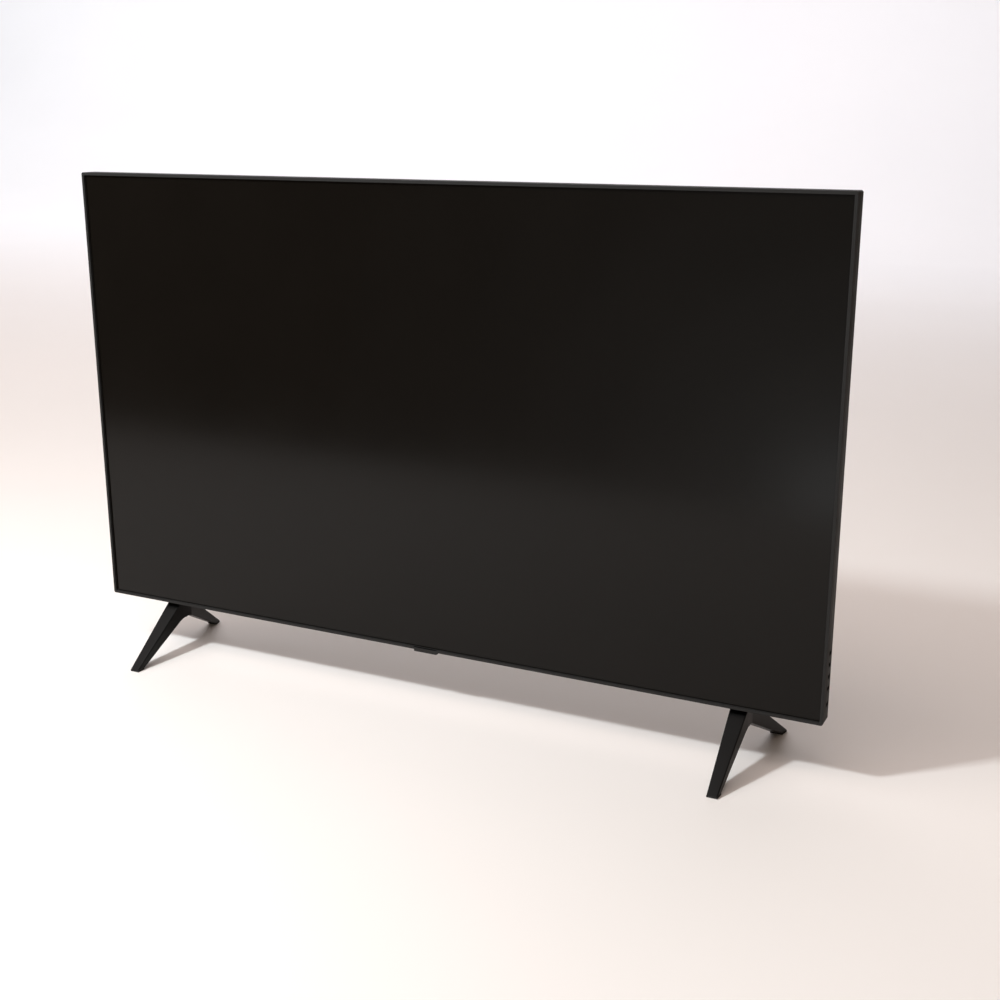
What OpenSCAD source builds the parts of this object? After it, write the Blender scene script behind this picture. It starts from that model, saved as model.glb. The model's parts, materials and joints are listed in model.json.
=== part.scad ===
// Flat screen television on two splayed feet, as the separate pieces it comes apart into.
// Millimetres. +X is the viewer's right, +Y the back and +Z up. The origin is on the floor,
// midway between the leg tips. Depths, named d, are counted back from the bezel's front face.

/* [Body] */
// Width over the bezel
body_w = 967; // [930:1:1040]
// Height of the body over the bezel, without the feet
body_h = 556; // [520:1:600]
// Depth of the slim rim, from the bezel's face to the flat back
rim_d = 22; // [21:0.5:28]
// Depth over the lower housing
body_d = 58; // [56:1:80]
// Height of the body's underside above the floor
foot_h = 70; // [64:1:90]
// Distance from the feet's middle forward to the bezel's face
front_setback = 21.5; // [19:0.5:24]
// Radius of the body's corners, seen from the front
corner_r = 2.5; // [1:0.1:5]

/* [Bezel] */
// Width of the bezel's front face
bezel_face = 3.6; // [3.6:0.1:7]
// Thickness of the bezel's outer wall
bezel_wall = 1.6; // [1.2:0.1:2]
// Thickness of the bezel's front lip
bezel_lip = 0.8; // [0.6:0.1:1.4]
// Depth of the bezel's outer wall
bezel_side = 8; // [6.5:0.1:8.6]
// Open seam between the bezel and the rear cover
seam = 0.3; // [0.1:0.05:0.8]

/* [Display] */
// Depth of the panel's glass behind the bezel's face
glass_recess = 2.8; // [2.5:0.1:4.2]
// Thickness of the panel
glass_t = 1.4; // [1:0.1:1.8]
// Free edge between the panel and the bezel's wall, top and sides
cell_gap = 0.4; // [0.2:0.1:0.8]
// Free height under the panel for its driver films
cell_lift = 1.4; // [1.2:0.1:2]
// Width of the ledge that carries the panel
ledge_w = 9; // [6:0.5:11]
// Thickness of the ledge that carries the panel
ledge_t = 1; // [0.8:0.1:1.4]
// Thickness of the middle frame's outer wall
frame_wall = 1.8; // [1.2:0.1:2.4]
// Thickness of each optical sheet
film_t = 0.3; // [0.2:0.05:0.4]
// Thickness of the light guide
guide_t = 2.5; // [2:0.1:3]
// Thickness of the reflector
reflector_t = 0.25; // [0.15:0.05:0.4]
// Thickness of the steel backplate
plate_t = 0.8; // [0.6:0.1:1]
// Spacing of the backlight's lamps
led_pitch = 15.5; // [12:0.5:24]

/* [Rear cover] */
// Wall thickness of the rear cover
cover_t = 2.2; // [1.8:0.1:2.6]
// Width of the lower housing, stated for a body 967 wide. It changes with the body's width
housing_w = 880; // [860:1:900]
// Flat back of the housing above the upper mounting posts
housing_margin = 17.5; // [8:0.5:60]
// Run of the housing's sloped sides and top
housing_slope = 36; // [20:1:38]
// Chamfer along the housing's lower back edge
housing_chamfer = 4; // [2:0.5:4.5]
// Width of one vent slot
vent_w = 3; // [2:0.5:4]
// Spacing of the vent slots
vent_pitch = 9; // [7:0.5:14]
// Length of a vent bank
vent_bank = 270; // [120:10:280]
// Radius of a cover screw's head
cover_head_r = 3.6; // [3:0.1:4.5]

/* [Wall mount] */
// Spacing of the four threaded posts, across and up
mount_pitch = 200; // [200:5:240]
// Height of the pattern's middle above the underside
mount_z = 200; // [190:1:215]
// Radius of a post
post_r = 8.5; // [6:0.5:10]
// Radius of a post's threaded bore
post_bore_r = 2.6; // [2:0.1:3.2]
// Depth of a post's threaded bore
post_bore_len = 15; // [8:1:30]

/* [Boards] */
// Distance of the main and power boards behind the slim back's plane
board_rise = 0.4; // [0.2:0.1:3]
// Height of the main and power boards
board_h = 169; // [169:1:180]
// Thickness of a circuit board
board_t = 1.6; // [1:0.1:2]
// Distance from the middle to the near edge of the main and power boards
board_inner_x = 40; // [36:1:42]

/* [Ports] */
// Distance from the middle to the walls that carry the sockets
port_x = 250; // [240:1:270]
// Free height above and below the boards in the port bay
port_margin = 5; // [3:0.5:8]
// Height of the mains bay
mains_bay_h = 80; // [50:1:110]
// Height of the mains inlet's middle above the lower edge of the power board
mains_z = 75; // [65:1:100]

/* [Keys] */
// Length of a key, front to back
key_len = 7; // [5:0.1:7]
// Height of a key
key_h = 4; // [3:0.1:5]
// Travel of a key
key_travel = 0.6; // [0.3:0.1:0.8]
// Depth of a key's face below the side wall
key_sink = 0.1; // [0:0.1:1]
// Free gap round a key
key_gap = 0.3; // [0.2:0.05:0.4]
// Height of the power key above the underside
power_key_z = 19.7; // [16:0.1:24]
// Height of the lowest of the other four keys above the underside
key_z = 38; // [35:0.1:44]
// Spacing of the other four keys
key_pitch = 13.5; // [11:0.1:16]

/* [Sensor] */
// Width of the sensor housing
sensor_w = 31; // [28:1:44]
// Drop of the sensor housing below the underside
sensor_drop = 2.6; // [2.2:0.1:6]
// Depth of the sensor housing
sensor_d = 14; // [13.5:0.5:16]
// Height of the housing's face above the underside
sensor_face = 2.6; // [2:0.1:3]

/* [Feet] */
// Distance from the middle to a foot's crown, stated for a housing 880 wide. It moves with the housing's side
foot_x = 389; // [380:1:394]
// Reach of the leg tips forward and back of the crown
foot_reach = 99.7; // [85:0.1:120]
// Length of a leg tip along the floor
tip_len = 14; // [11:0.5:18]
// Half thickness of the crown, front to back
crown_half = 7.5; // [6.5:0.5:10]
// Width of the crown
crown_w = 20.2; // [19.6:0.1:26]
// Width of a front leg's tip
front_tip_w = 12.2; // [9:0.1:18]
// Width of a rear leg's tip
rear_tip_w = 13.6; // [9:0.1:18]
// Outward splay of the rear leg at its tip
splay = 21; // [0:0.5:32]
// Height of the arch under the crown
arch_z = 45; // [36:0.5:48]
// Radius of the arch under the crown
arch_r = 30; // [14:0.5:34]
// Thickness of the rubber pads
pad_t = 2; // [1:0.5:4]

/* [Speakers] */
// Distance from the middle to a speaker's middle, stated for a foot at 389. It moves with the foot
speaker_x = 245; // [225:1:255]
// Width of a speaker box
speaker_w = 180; // [120:1:190]
// Height of a speaker box
speaker_h = 44; // [34:1:56]
// Wall of a speaker box
speaker_wall = 2; // [1.5:0.1:2.5]
// Travel of a cone each way
cone_travel = 0.8; // [0.3:0.1:1]

/* [Hidden] */
// Widths and places that housing_w, foot_x and speaker_x are stated for
stated_body_w = 967;
stated_housing_w = 880;
stated_foot_x = 389;

$fn = 48;
// Clearance of a sliding or dropped-in fit
fit = 0.3;
// Air between two layers laid on each other
layer_gap = 0.05;
// Overshoot of a cut past the face that it opens
over = 1;

z0 = foot_h;
z1 = foot_h + body_h;
xi = body_w / 2 - cover_t;

// Rectangles seen from the front: half width, lower edge, upper edge
body = [body_w / 2, z0, z1];
cell = [body_w / 2 - bezel_wall - cell_gap, z0 + bezel_wall + cell_lift, z1 - bezel_wall - cell_gap];
tray = inset(cell, frame_wall + 0.1);
sheet = inset(tray, plate_t + 0.2);

// Depths of the layers behind the panel
glass_back = glass_recess + glass_t;
ledge_back = glass_back + ledge_t;
prism_d = [ledge_back + layer_gap, ledge_back + layer_gap + film_t];
diffuser_d = [prism_d[1] + layer_gap, prism_d[1] + layer_gap + film_t];
guide_d = [diffuser_d[1] + layer_gap, diffuser_d[1] + layer_gap + guide_t];
reflector_d = [guide_d[1] + layer_gap, guide_d[1] + layer_gap + reflector_t];
plate_d = [reflector_d[1] + layer_gap, reflector_d[1] + layer_gap + plate_t];
plate_back = plate_d[1];
cover_in = rim_d - cover_t;
cover_front = bezel_side + seam;

// Heights of the lamps along the tray's lower edge
led_bar_t = 1;
led_strip_t = 0.8;
led_h = 1.2;
led_w = 7;
led_margin = 8;
led_z = tray[1] + plate_t + layer_gap;
guide_z = led_z + led_bar_t + led_strip_t + led_h + 0.2;
led_half = sheet[0] - led_margin;
led_count = floor((2 * led_half - led_w) / led_pitch);

// Ribs pressed into the backplate above the posts
rib_x = [150, 320];
rib_w = 24;
rib_h = 2;
rib_gap = 20;
rib_drop = 50;

// Boards
board_d = [rim_d + board_rise, rim_d + board_rise + board_t];
post_z = [z0 + mount_z - mount_pitch / 2, z0 + mount_z + mount_pitch / 2];
board_z = [z0 + mount_z - board_h / 2, z0 + mount_z + board_h / 2];
board_edge = 0.4;
board_x = [board_inner_x, port_x - cover_t - board_edge];
hole_inset = 7;
port_inset = 26;
board_hole_r = 1.8;
board_head_r = 3;
board_head_h = 1.8;
board_screw_in = 6;
timing_screw_in = 4;
radio_screw_in = 2;
pilot_r = 1.45;
standoff_r = 3.5;
board_holes = [for (x = [board_x[0] + hole_inset, board_x[1] - port_inset],
    z = [board_z[0] + hole_inset, board_z[1] - hole_inset]) [x, z]];
main_z = board_z[0];

// Parts on the main board: places from its lower inner corner, then width, height and depth
memory_x = [60, 82];
memory_z = 34;
memory_size = [14, 10, 1.2];
audio_at = [150, 40];
audio_size = [9, 9, 1];
tuner_at = [44, 26];
tuner_size = [22, 16, 8];
plug_z = 6;
plug_size = [10, 8, 6];
ribbon_plug_z = 3;
ribbon_plug = [2, 4, 4];
power_plug_x = 6;
power_plug_z = 75;
power_plug_size = [8, 30, 6];
small_can_at = [26, 130];
small_can_pitch = 12;
small_can = [4, 9];
sink_z = 88;
sink_size = [46, 46, 3];
fin_count = 8;
fin_t = 1.5;
fin_h = 11;

// Parts on the power board, placed the same way
transformer_at = [92, 80];
transformer_size = [36, 32, 24];
choke_at = [46, 122];
choke_size = [26, 22, 18];
filter_at = [40, 128];
filter_size = [26, 24, 20];
fin_plate_at = [104, 118];
fin_plate_size = [58, 3, 20];
big_can_at = [100, 38];
big_can_pitch = 21;
big_can = [9, 26];
mid_can_at = [32, 38];
mid_can_pitch = 13;
mid_can = [5, 18];

timing_half = 80;
timing_rise = 34;
timing_h = 38;
timing_standoff = 5;
timing_t = 1.2;
timing_z = [z0 + timing_rise, z0 + timing_rise + timing_h];
timing_d = [plate_back + timing_standoff, plate_back + timing_standoff + timing_t];
timing_hole_in = [6, 5];
timing_holes = [for (x = [-1, 1], z = [timing_z[0] + timing_hole_in[1], timing_z[1] - timing_hole_in[1]])
    [x * (timing_half - timing_hole_in[0]), z]];
radio_half = 16;
radio_gap = 10;
radio_h = 24;
radio_standoff = 3;
radio_t = 1;
radio_hole_in = 4;
radio_can = [24, 12, 2];
radio_can_low = 2;
radio_x = [-radio_half, radio_half];
radio_z = [timing_z[1] + radio_gap, timing_z[1] + radio_gap + radio_h];
radio_d = [plate_back + radio_standoff, plate_back + radio_standoff + radio_t];
radio_holes = [for (x = [-1, 1]) [x * (radio_half - radio_hole_in), radio_z[1] - radio_hole_in]];

// Sockets on the main board: height above its lower edge, width, depth, and the hollow's width and depth
socket_len = 13;
hdmi_z = [82, 104, 126];
hdmi = [15.4, 6.4];
hdmi_in = [14, 4.7];
hdmi_deep = 9;
usb_z = [144, 161];
usb = [14.4, 7.2];
usb_in = [12.6, 5.3];
usb_deep = 10;
network_z = 36;
network = [16.4, 13.6];
network_in = [12, 8.4];
network_deep = 11;
optical_z = 60;
optical = [10, 9.8];
optical_in = [6.4, 6.4];
optical_deep = 6;
aerial_z = 14;
aerial = [14, 13];
aerial_r = 4.7;
aerial_bore_r = 1.6;
aerial_out = 9;
aerial_deep = 2;
inlet = [24, 14];
inlet_r = 4.6;
inlet_deep = 14;
inlet_len = 20;
pin_r = 1.2;
pin_pitch = 8.6;
pin_len = 11;
inlet_z = main_z + mains_z;
inlet_d = board_d[1] + inlet[1] / 2;
pin_z = [inlet_z - pin_pitch / 2, inlet_z + pin_pitch / 2];

// Outline of the lower housing, and of its hollow
housing_half = (housing_w + body_w - stated_body_w) / 2;
housing_top = post_z[1] + post_r + housing_margin + housing_slope;
slope_t = cover_t * norm([housing_slope, body_d - rim_d]) / (body_d - rim_d);
slope_ratio = housing_slope / (body_d - rim_d);
chamfer_in = housing_chamfer - cover_t * (2 - sqrt(2));
back_in = body_d - cover_t;
vent_share = [0.8, 0.25];
vent_end_gap = 30;
vent_post_gap = 20;
vent_rise = 2;
low_vent_rise = 40;
low_vent_h = 35;

// Bays cut into the housing for plugs
port_bay_z = [board_z[0] - port_margin, board_z[1] + port_margin];
mains_bay_z = [inlet_z - mains_bay_h / 2, inlet_z + mains_bay_h / 2];

// Cover screws in the slim back, in bosses that stand on the backplate
screw_shank_r = 1.4;
recess_width = 0.24;
recess_reach = 0.62;
recess_floor = 0.4;
cover_screw_inset = 18;
cover_sink = 1.2;
cover_head_h = 1.5;
cover_boss_r = 4;
cover_side_x = (housing_half + body_w / 2) / 2;
cover_end_inset = 60;
cover_low_rise = 150;
cover_high_drop = 226;
cover_screw_at = concat(
    [for (i = [-1.5 : 1.5]) [i * (body_w - 2 * cover_end_inset) / 3, z1 - cover_screw_inset]],
    [for (side = [-1, 1], z = [z0 + cover_low_rise, z1 - cover_high_drop]) [side * cover_side_x, z]]);

// Keys and what carries them
key_mid_d = (plate_back + cover_in) / 2;
key_rest_gap = 0.15;
key_flange_t = 1.2;
key_flange = [0.65, 1.2];
stem_r = 1.3;
stem_in = 0.3;
well_r = stem_r + key_gap;
switch_size = 6;
switch_h = 3.4;
switch_gap = 4.2;
switch_x = xi - switch_gap;
key_board_t = 1.2;
key_board_x = switch_x - switch_h - key_board_t;
key_bracket_t = 1.5;
key_bracket_foot = 12;
key_bracket_x = key_board_x - key_bracket_t;
key_places = concat([power_key_z], [for (i = [0 : 3]) key_z + i * key_pitch]);
key_board_end = 9;
key_board_z = [z0 + power_key_z - key_board_end, z0 + key_z + 3 * key_pitch + key_board_end];
key_board_half = key_mid_d - plate_back - 2 * fit;

// Sensor
sensor_wall = 1;
sensor_top = z0 + bezel_wall - 0.2;
sensor_floor = z0 - sensor_drop + sensor_wall;
sensor_board_t = 0.8;
receiver = [6, 3, 1.2];
receiver_x = 2;
receiver_in = 1;

// Feet
foot_at = foot_x + housing_half - stated_housing_w / 2;
screw_dx = 5.5;
foot_head_r = 3.3;
foot_head_h = 2.6;
foot_shank_r = 2;
foot_sink_r = foot_head_r + 0.2;
foot_hole_r = foot_shank_r + 0.25;
foot_seat_drop = 14;
foot_screw_in = 6;
foot_seat_z = z0 - foot_seat_drop;
foot_screw_top = z0 + cover_t + foot_screw_in;
tenon = [17, 9];
knee_y = 10;
tip_in = foot_reach - tip_len;
arch_c = [0, arch_z - arch_r];
arch_p = [tip_in, pad_t];
arch_l = norm(arch_c - arch_p);
arch_a = atan2(arch_c[1] - arch_p[1], tip_in) + asin(arch_r / arch_l);
arch_run = sqrt(arch_l * arch_l - arch_r * arch_r);
arch_touch = [tip_in - arch_run * cos(arch_a), pad_t + arch_run * sin(arch_a)];
bracket_half = 24;
bracket_t = 2.5;
bracket_base_t = 3;
bracket_rise = 58;
bracket_past = 4;
bracket_d = front_setback + crown_half + bracket_past;
pad_inset = 1.2;

// Driver films and boards on the panel's lower edge
driver_film_t = 0.2;
driver_film_w = 40;
driver_film_count = 4;
driver_film_rise = 14;
source_margin = 10;
source_rise = 10;
source_h = 12;
source_t = 1;
source_inner_x = 40;
source_gap = 25;
source_x = [source_inner_x, foot_at - bracket_half - source_gap];
driver_film_x = source_x[0] + source_margin + driver_film_w / 2;
driver_film_end = source_x[1] - source_margin - driver_film_w / 2;
driver_film_pitch = (driver_film_end - driver_film_x) / (driver_film_count - 1);
source_z = [cell[1] + source_rise, cell[1] + source_rise + source_h];
source_d = [plate_back + 2 * driver_film_t, plate_back + 2 * driver_film_t + source_t];

// Speakers
speaker_at = speaker_x + foot_at - stated_foot_x;
speaker_pad_t = 1.5;
speaker_pad = 12;
speaker_z = [z0 + cover_t + speaker_pad_t, z0 + cover_t + speaker_pad_t + speaker_h];
speaker_air = 1.5;
speaker_d = [rim_d + speaker_air, back_in - speaker_air];
speaker_mid_d = (speaker_d[0] + speaker_d[1]) / 2;
driver_z = speaker_z[0] + speaker_wall;
driver_air = 0.4;
surround_w = 3.9;
mouth_gap = 1.4;
driver_r = (speaker_d[1] - speaker_d[0]) / 2 - speaker_wall - driver_air;
cone_r = driver_r - surround_w;
speaker_mouth_r = cone_r + fit + mouth_gap;
driver_flange_t = 1.5;
basket_t = 1.5;
basket_step = 0.5;
magnet_z = [9, 10.5, 15, 17];
coil_in = 1.9;
coil_r = cone_r - coil_in;
coil_t = 0.6;
coil_gap = 0.5;
cone_t = 0.8;
cone_rim_z = 0.2;
cone_cap_z = 3.8;
coil_len = 11.7;
coil_top = coil_len + cone_travel;
grille_slot = [2.4, 18];
grille_pitch = 5;
grille_count = 13;

// Wiring, as routes whose points were chosen by hand: x, y from the boards' rear face, z
wire_r = 0.9;
wire_sides = 8;
wire_bend = 3;
wire_rise = 3;
wire_y = at(board_d[1]) + wire_rise;
wire_end_z = main_z + plug_z - plug_size[1] / 2;
backlight_drop = 10;
backlight_rise = 4;
backlight_low = 20;
speaker_drop = 20;
cross_drop = 26;
key_lead_rise = 64;
key_lead_drop = 8;
sensor_lead_x = -12;
sensor_lead_rise = 26;
sensor_lead_drop = 34;
lead_split = 3;
power_wire_pitch = 5;
power_wire_in = 2;

// Colours
dark_plastic = [0.16, 0.16, 0.165];
black_plastic = [0.06, 0.06, 0.065];
screen_black = [0.02, 0.02, 0.025];
steel = [0.62, 0.63, 0.65];
board_green = [0.10, 0.32, 0.18];
white_sheet = [0.92, 0.93, 0.94];
rubber_black = [0.05, 0.05, 0.05];
bright_metal = [0.78, 0.78, 0.80];

// Places of the plugs along the boards' lower edges
speaker_plug_in = [42, 165];
control_plug_in = 110;
backlight_plug_in = 120;
ribbon_in = 13;
ribbon_w = 16;
ribbon_t = 0.3;
ribbon_drop = 4;
ribbon_lap = 14;
speaker_plug_x = [board_x[0] + speaker_plug_in[0], board_x[0] + speaker_plug_in[1]];
control_plug_x = board_x[0] + control_plug_in;
backlight_plug_x = board_x[0] + backlight_plug_in;
ribbon_x = [board_x[0] + ribbon_in, board_x[0] + ribbon_in + ribbon_w];

function at(d) = d - front_setback;
function inset(r, a) = [r[0] - a, r[1] + a, r[2] - a];
function unit(v) = v / norm(v);

// Points of a quarter turn at the corner b, from a towards c; routes turn at right angles only
function bend(a, b, c, r, n) =
    let (u = unit(a - b), v = unit(c - b), m = b + r * (u + v))
    [for (k = [0 : n]) m - r * (v * cos(90 * k / n) + u * sin(90 * k / n))];

// A route with each inner corner rounded
function rounded(p, r, n = 4) =
    [p[0], each [for (i = [1 : len(p) - 2]) each bend(p[i - 1], p[i], p[i + 1], r, n)], p[len(p) - 1]];

function along(p, i) =
    i == 0 ? unit(p[1] - p[0])
    : i == len(p) - 1 ? unit(p[i] - p[i - 1])
    : unit(unit(p[i + 1] - p[i]) + unit(p[i] - p[i - 1]));

// Side direction of each ring, carried along the route without twist
function sides(p, i = 0, found = []) =
    i == len(p) ? found
    : let (
        t = along(p, i),
        last = i == 0 ? (abs(t[2]) > 0.9 ? [1, 0, 0] : [0, 0, 1]) : found[i - 1],
        n = unit(last - t * (last * t))
    )
    sides(p, i + 1, concat(found, [n]));

module block(x, d, z)
    translate([x[0], at(d[0]), z[0]])
        cube([x[1] - x[0], d[1] - d[0], z[1] - z[0]]);

module plate(r, d)
    block([-r[0], r[0]], d, [r[1], r[2]]);

module ring(r, wall, d)
    difference() {
        plate(r, d);
        plate(inset(r, wall), [d[0] - over, d[1] + over]);
    }

module round_rect(w, h, r) {
    square([w - 2 * r, h], center = true);
    square([w, h - 2 * r], center = true);
    for (x = [-1, 1], y = [-1, 1])
        translate([x * (w / 2 - r), y * (h / 2 - r)])
            circle(r);
}

module round_plate(r, radius, d)
    translate([0, at(d[1]), (r[1] + r[2]) / 2])
        rotate([90, 0, 0])
            linear_extrude(d[1] - d[0])
                round_rect(2 * r[0], r[2] - r[1], radius);

module rod_x(x, d, z, r)
    translate([x[0], at(d), z])
        rotate([0, 90, 0])
            cylinder(r = r, h = x[1] - x[0]);

module rod_y(x, d, z, r)
    translate([x, at(d[1]), z])
        rotate([90, 0, 0])
            cylinder(r = r, h = d[1] - d[0]);

module rod_z(x, y, z, r)
    translate([x, y, z[0]])
        cylinder(r = r, h = z[1] - z[0]);

module pair()
    for (m = [0, 1])
        mirror([m, 0, 0])
            children();

// Extrudes an outline drawn in y and z along x
module along_x(x)
    translate([x[0], 0, 0])
        rotate([90, 0, 90])
            linear_extrude(x[1] - x[0])
                children();

// Pan head screw along depth, head to the back, with a cross recess
module back_screw(x, z, tip_d, seat_d, head_r, head_h) {
    slot = head_r * recess_width;
    reach = head_r * recess_reach;
    difference() {
        union() {
            rod_y(x, [tip_d, seat_d + head_h / 2], z, screw_shank_r);
            rod_y(x, [seat_d, seat_d + head_h], z, head_r);
        }
        for (s = [[slot, reach], [reach, slot]])
            block([x - s[0], x + s[0]], [seat_d + head_h * recess_floor, seat_d + head_h + over],
                [z - s[1], z + s[1]]);
    }
}

// Round wire swept along a route
module wire(route) {
    p = rounded(route, wire_bend);
    n = sides(p);
    count = len(p);
    points = [for (i = [0 : count - 1]) let (b = cross(along(p, i), n[i]))
        for (k = [0 : wire_sides - 1])
            p[i] + wire_r * (cos(360 * k / wire_sides) * n[i] + sin(360 * k / wire_sides) * b)];
    walls = [for (i = [0 : count - 2], k = [0 : wire_sides - 1])
        let (
            a = i * wire_sides + k,
            b = i * wire_sides + (k + 1) % wire_sides
        )
        each [[a, a + wire_sides, b], [b, a + wire_sides, b + wire_sides]]];
    first = [for (k = [1 : wire_sides - 2]) [0, k, k + 1]];
    end = (count - 1) * wire_sides;
    last = [for (k = [1 : wire_sides - 2]) [end, end + k + 1, end + k]];
    polyhedron(points, concat(walls, first, last));
}

module front_bezel()
    color(dark_plastic)
        difference() {
            round_plate(body, corner_r, [0, bezel_side]);
            plate(inset(body, bezel_wall), [bezel_lip, bezel_side + over]);
            plate(inset(body, bezel_face), [-over, bezel_side]);
            sensor_notch([-over, bezel_side + over], z0 + bezel_face + over);
        }

module sensor_notch(d, top)
    block([-sensor_w / 2 - fit / 2, sensor_w / 2 + fit / 2], d, [z0 - over, top]);

module panel_gasket()
    color(rubber_black)
        ring(inset(body, bezel_wall + 0.1), bezel_face - bezel_wall - 0.2, [bezel_lip, glass_recess]);

module lcd_panel()
    color(screen_black)
        plate(cell, [glass_recess, glass_back]);

module mid_frame()
    color(black_plastic) {
        ring(cell, ledge_w, [glass_back, ledge_back]);
        ring(cell, frame_wall, [ledge_back - layer_gap, cover_front - fit]);
    }

module prism_sheet()
    color(white_sheet)
        plate(sheet, prism_d);

module diffuser_sheet()
    color(white_sheet)
        plate(sheet, diffuser_d);

module light_guide()
    color([0.80, 0.90, 0.95])
        plate([sheet[0], guide_z, sheet[2]], guide_d);

module reflector_sheet()
    color(white_sheet)
        plate([sheet[0], guide_z, sheet[2]], reflector_d);

module led_heat_bar()
    color(bright_metal)
        block([-led_half, led_half], [guide_d[0], plate_d[0] - layer_gap], [led_z, led_z + led_bar_t]);

module led_strip()
    color(white_sheet)
        block([-led_half, led_half], guide_d, [led_z + led_bar_t, led_z + led_bar_t + led_strip_t]);

module backlight_leds()
    color([0.95, 0.90, 0.55])
        for (i = [0 : led_count - 1])
            let (x = (i - (led_count - 1) / 2) * led_pitch)
                block([x - led_w / 2, x + led_w / 2], [guide_d[0] + 0.3, guide_d[1] - 0.3],
                    [led_z + led_bar_t + led_strip_t, led_z + led_bar_t + led_strip_t + led_h]);

module backplate()
    color(steel)
        difference() {
            union() {
                plate(tray, plate_d);
                ring(tray, plate_t, [prism_d[0], plate_d[1]]);
                pair()
                    stiffening_ribs();
                pair()
                    standoffs(board_holes, board_d[0]);
                standoffs(timing_holes, timing_d[0]);
                standoffs(radio_holes, radio_d[0]);
            }
            pair()
                pilots(board_holes, board_d[0]);
            pilots(timing_holes, timing_d[0]);
            pilots(radio_holes, radio_d[0]);
        }

module stiffening_ribs()
    for (x = rib_x)
        block([x - rib_w / 2, x + rib_w / 2], [plate_back - layer_gap, plate_back + rib_h],
            [post_z[1] + post_r + rib_gap, z1 - rib_drop]);

module standoffs(places, top_d)
    for (p = places)
        rod_y(p[0], [plate_back - layer_gap, top_d], p[1], standoff_r);

module pilots(places, top_d)
    for (p = places)
        rod_y(p[0], [plate_back + 0.5, top_d + over], p[1], pilot_r);

module driver_films()
    color([0.75, 0.55, 0.20])
        pair()
            for (i = [0 : driver_film_count - 1])
                let (x = driver_film_x + i * driver_film_pitch) {
                    block([x - driver_film_w / 2, x + driver_film_w / 2],
                        [glass_recess + 0.2, plate_back + 1.5 * driver_film_t],
                        [cell[1] - 0.25, cell[1] - 0.05]);
                    block([x - driver_film_w / 2, x + driver_film_w / 2],
                        [plate_back + 0.5 * driver_film_t, plate_back + 1.5 * driver_film_t],
                        [cell[1] - 0.25, cell[1] + driver_film_rise]);
                }

module source_boards()
    color(board_green)
        pair()
            block(source_x, source_d, source_z);

// Frustum of the lower housing: two outlines cross, which leaves flat slopes with mitred corners.
// half and top are where the slopes meet the flat back
module housing(half, bottom, top, d, chamfer) {
    run = [slope_ratio * (d[0] - rim_d), slope_ratio * (d[1] - rim_d)];
    intersection() {
        along_x([-half - body_d, half + body_d])
            polygon([[at(d[0]), bottom], [at(d[1] - chamfer), bottom], [at(d[1]), bottom + chamfer],
                [at(d[1]), top - run[1]], [at(d[0]), top - run[0]]]);
        translate([0, 0, bottom - over])
            linear_extrude(top - bottom + body_d)
                polygon([[run[0] - half, at(d[0])], [half - run[0], at(d[0])],
                    [half - run[1], at(d[1])], [run[1] - half, at(d[1])]]);
    }
}

// Room for plugs beside a socket wall, grown by a wall thickness to leave the bay's own walls
module bay(z, grow)
    block([port_x - grow, housing_half + body_d], [rim_d - grow, body_d + over], [z[0] - grow, z[1] + grow]);

module bays(grow) {
    bay(port_bay_z, grow);
    mirror([1, 0, 0])
        bay(mains_bay_z, grow);
}

module rear_cover()
    color(dark_plastic)
        difference() {
            union() {
                difference() {
                    cover_outside();
                    cover_hollow();
                }
                cover_bosses();
            }
            cover_screw_holes();
            mount_holes();
            vents();
            grilles();
            socket_holes();
            key_holes();
            foot_holes();
            sensor_notch([cover_front - over, sensor_d + fit], z0 + cover_t + over);
        }

module cover_outside() {
    round_plate(body, corner_r, [cover_front, rim_d]);
    difference() {
        housing(housing_half, z0, housing_top, [cover_in, body_d], housing_chamfer);
        bays(0);
    }
}

module cover_hollow() {
    plate(inset(body, cover_t), [cover_front - over, cover_in]);
    difference() {
        housing(housing_half - slope_t, z0 + cover_t, housing_top - slope_t, [cover_in - over, back_in],
            chamfer_in);
        bays(cover_t);
    }
}

module cover_bosses()
    for (p = cover_screw_at)
        rod_y(p[0], [plate_back, cover_in + over / 2], p[1], cover_boss_r);

module cover_screw_holes()
    for (p = cover_screw_at) {
        rod_y(p[0], [plate_back - over, rim_d + over], p[1], pilot_r);
        rod_y(p[0], [rim_d - cover_sink, rim_d + over], p[1], cover_head_r + fit);
    }

module mount_holes()
    for (x = [-1, 1], z = post_z)
        rod_y(x * mount_pitch / 2, [cover_in, body_d + over], z, post_r + fit);

// Two banks of slots through the housing's upper slope, and a bank low between the posts
module vents() {
    slots = floor(vent_bank / vent_pitch);
    low_slots = floor((mount_pitch / 2 - post_r - vent_post_gap) / vent_pitch);
    slope_z = [housing_top - housing_slope * vent_share[0], housing_top - housing_slope * vent_share[1]];
    low_z = [z0 + low_vent_rise, z0 + low_vent_rise + low_vent_h];
    pair() {
        for (i = [0 : slots - 1])
            let (x = housing_half - housing_slope - vent_end_gap - i * vent_pitch)
                block([x - vent_w, x], [rim_d + vent_rise, body_d + over], slope_z);
        for (i = [0 : low_slots - 1])
            let (x = (i + 0.5) * vent_pitch)
                block([x - vent_w / 2, x + vent_w / 2], [back_in - over, body_d + over], low_z);
    }
}

module grilles()
    pair()
        for (i = [0 : grille_count - 1])
            let (x = speaker_at + (i - (grille_count - 1) / 2) * grille_pitch)
                block([x - grille_slot[0] / 2, x + grille_slot[0] / 2],
                    [speaker_mid_d - grille_slot[1] / 2, speaker_mid_d + grille_slot[1] / 2],
                    [z0 - over, z0 + cover_t + over / 2]);

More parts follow.
